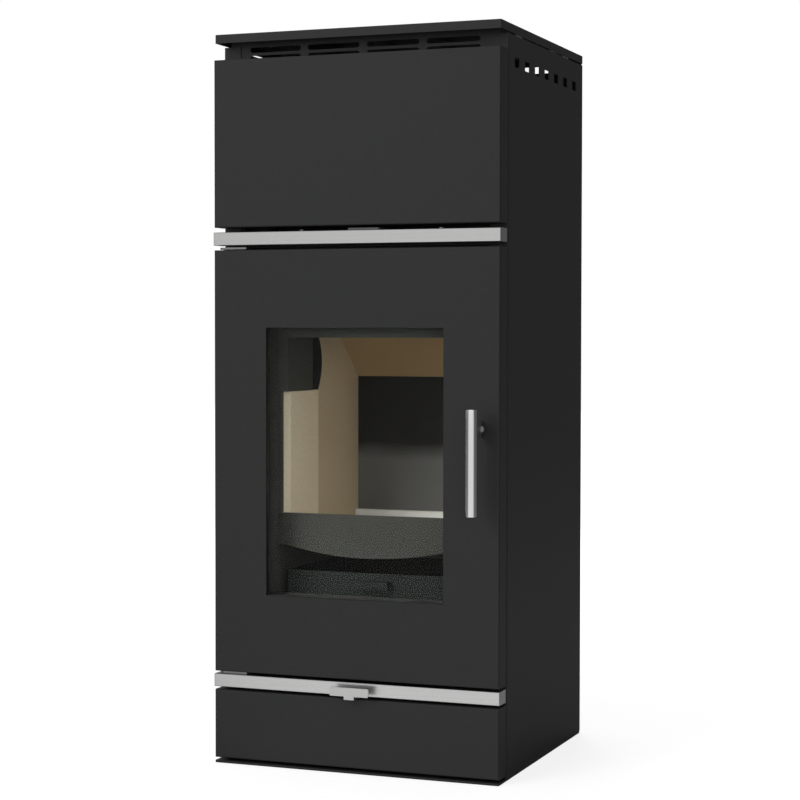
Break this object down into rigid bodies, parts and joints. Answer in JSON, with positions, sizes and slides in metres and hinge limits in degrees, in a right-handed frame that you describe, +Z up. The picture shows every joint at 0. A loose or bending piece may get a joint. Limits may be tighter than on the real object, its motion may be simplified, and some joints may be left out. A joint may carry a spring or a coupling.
{
  "type": "boiler stove",
  "caption": "Tall free-standing wood-burning boiler stove with a glazed side-hinged door, two trim bars, air slides, lined firebox, water jacket and rear connections.",
  "frame": {"origin": "middle of the base plate, on its underside", "axes": "+Z up, +X to the right seen from the front, -Y out of the front with the door"},
  "size_m": [0.4756, 0.5495, 1.15],
  "materials": {
    "black_paint": "satin powder coat, fine texture",
    "trim_steel": "brushed along its length",
    "handle_steel": "satin round bar",
    "zinc_steel": "zinc plated",
    "boiler_steel": "primer, matt",
    "firebox_steel": "heat resistant paint, matt",
    "raw_steel": "plain steel",
    "cast_iron": "sand cast",
    "vermiculite": "pressed vermiculite, matt",
    "hearth_stone": "fireclay, matt",
    "glass": "clear ceramic glass",
    "rope": "glass fibre rope",
    "wool": "mineral wool board"
  },
  "bodies": {
    "stove": {"air_box": "boiler_steel", "air_inlet_pipe": "black_paint", "airwash_duct": "firebox_steel", "ash_pan": "raw_steel", "baffle_plate": "vermiculite", "base_plate": "black_paint", "boiler_legs": "boiler_steel", "cleaning_cover": "boiler_steel", "cover_gasket": "rope", "exchanger_tubes": "raw_steel", "firebox_shell": "firebox_steel", "flue_spigot": "black_paint", "front_grille": "black_paint", "front_plate": "firebox_steel", "grate": "cast_iron", "hearth_slab": "hearth_stone", "hearth_support": "firebox_steel", "hexagon_bolts": "zinc_steel", "hinge_pins": "raw_steel", "hinge_washer": "zinc_steel", "latch_catch": "raw_steel", "left_front_brick": "vermiculite", "left_rear_brick": "vermiculite", "left_side_panel": "black_paint", "levelling_screws": "zinc_steel", "log_guard": "cast_iron", "lower_cross_rail": "black_paint", "lower_front_panel": "black_paint", "lower_trim_bar": "trim_steel", "rear_panel": "black_paint", "rear_plate": "cast_iron", "right_front_brick": "vermiculite", "right_rear_brick": "vermiculite", "right_side_panel": "black_paint", "safety_coil": "raw_steel", "sensor_socket": "raw_steel", "side_insulation": "wool", "slide_pins": "zinc_steel", "smoke_box": "boiler_steel", "top_brackets": "zinc_steel", "top_plate": "black_paint", "upper_cross_rail": "black_paint", "upper_front_panel": "black_paint", "upper_trim_bar": "trim_steel", "water_jacket": "boiler_steel", "water_nipples": "raw_steel"},
    "door": {"door_panel": "black_paint", "door_glass": "glass", "glass_seal": "rope", "door_frame": "cast_iron", "door_seal": "rope", "door_frame_screws": "zinc_steel", "door_hinge_blocks": "raw_steel", "handle_bearing": "raw_steel"},
    "handle": {"handle_bar": "handle_steel", "handle_lug": "handle_steel", "handle_shaft": "raw_steel", "latch_hook": "raw_steel"},
    "primary_air": {"primary_air_slide": "trim_steel"},
    "secondary_air": {"secondary_air_slide": "black_paint"}
  },
  "joints": [
    {"name": "door_hinge", "type": "hinge", "parent": "stove", "child": "door", "pos_m": [-0.225, -0.2025, 0.146], "axis": [0, 0, -1], "range_deg": [0, 110]},
    {"name": "handle_turn", "type": "hinge", "parent": "door", "child": "handle", "pos_m": [0.2082, -0.2205, 0.5377], "axis": [0, 1, 0], "range_deg": [0, 60]},
    {"name": "primary_air_slide", "type": "slide", "parent": "stove", "child": "primary_air", "axis": [1, 0, 0], "range_m": [-0.02, 0.02]},
    {"name": "secondary_air_slide", "type": "slide", "parent": "stove", "child": "secondary_air", "axis": [1, 0, 0], "range_m": [-0.03, 0]}
  ]
}
